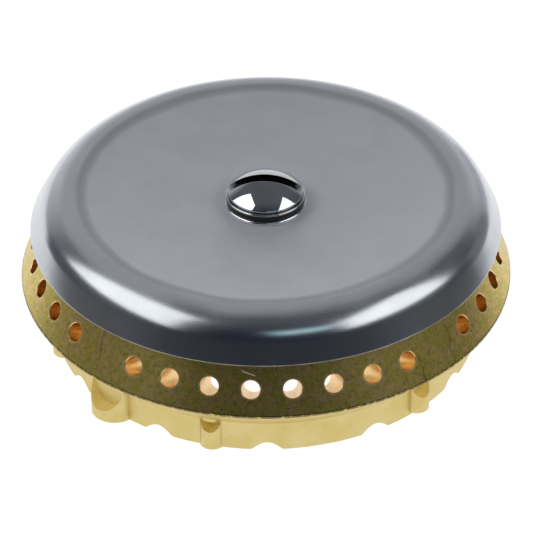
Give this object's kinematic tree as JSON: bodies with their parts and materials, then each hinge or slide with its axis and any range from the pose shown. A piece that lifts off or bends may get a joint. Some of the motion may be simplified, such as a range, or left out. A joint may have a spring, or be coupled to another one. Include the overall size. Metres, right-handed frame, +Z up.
{
  "type": "gas burner head",
  "caption": "Round gas burner head: ported brass crown under a dished steel cap that a slotted domed screw and washer hold down.",
  "frame": {"origin": "on the burner's axis, level with the lower edge of the crown's skirt", "axes": "+Z up along the burner's axis, through the screw; the pictured side faces -Y"},
  "size_m": [0.1, 0.1, 0.0359],
  "materials": {
    "crown_brass": "cast and turned brass, tarnished olive on the port face, pale below it",
    "cap_steel": "fine satin",
    "washer_steel": "smooth",
    "screw_steel": "polished"
  },
  "bodies": {
    "crown": {"burner_crown": "crown_brass"},
    "cap": {"burner_cap": "cap_steel"},
    "washer": {"cap_washer": "washer_steel"},
    "screw": {"cap_screw": "screw_steel"}
  },
  "joints": [
    {"name": "cap_lift", "type": "slide", "parent": "crown", "child": "cap", "axis": [0, 0, 1], "range_m": [0, 0.03]},
    {"name": "screw_lift", "type": "slide", "parent": "cap", "child": "washer", "axis": [0, 0, 1], "range_m": [0, 0.016]},
    {"name": "screw_turn", "type": "hinge", "parent": "washer", "child": "screw", "pos_m": [0, 0, 0.03], "axis": [0, 0, 1], "range_deg": [0, 4500]}
  ],
  "couplings": [
    {"joint": "screw_lift", "follows": "screw_turn", "m_per_rad": 0.00019894}
  ]
}
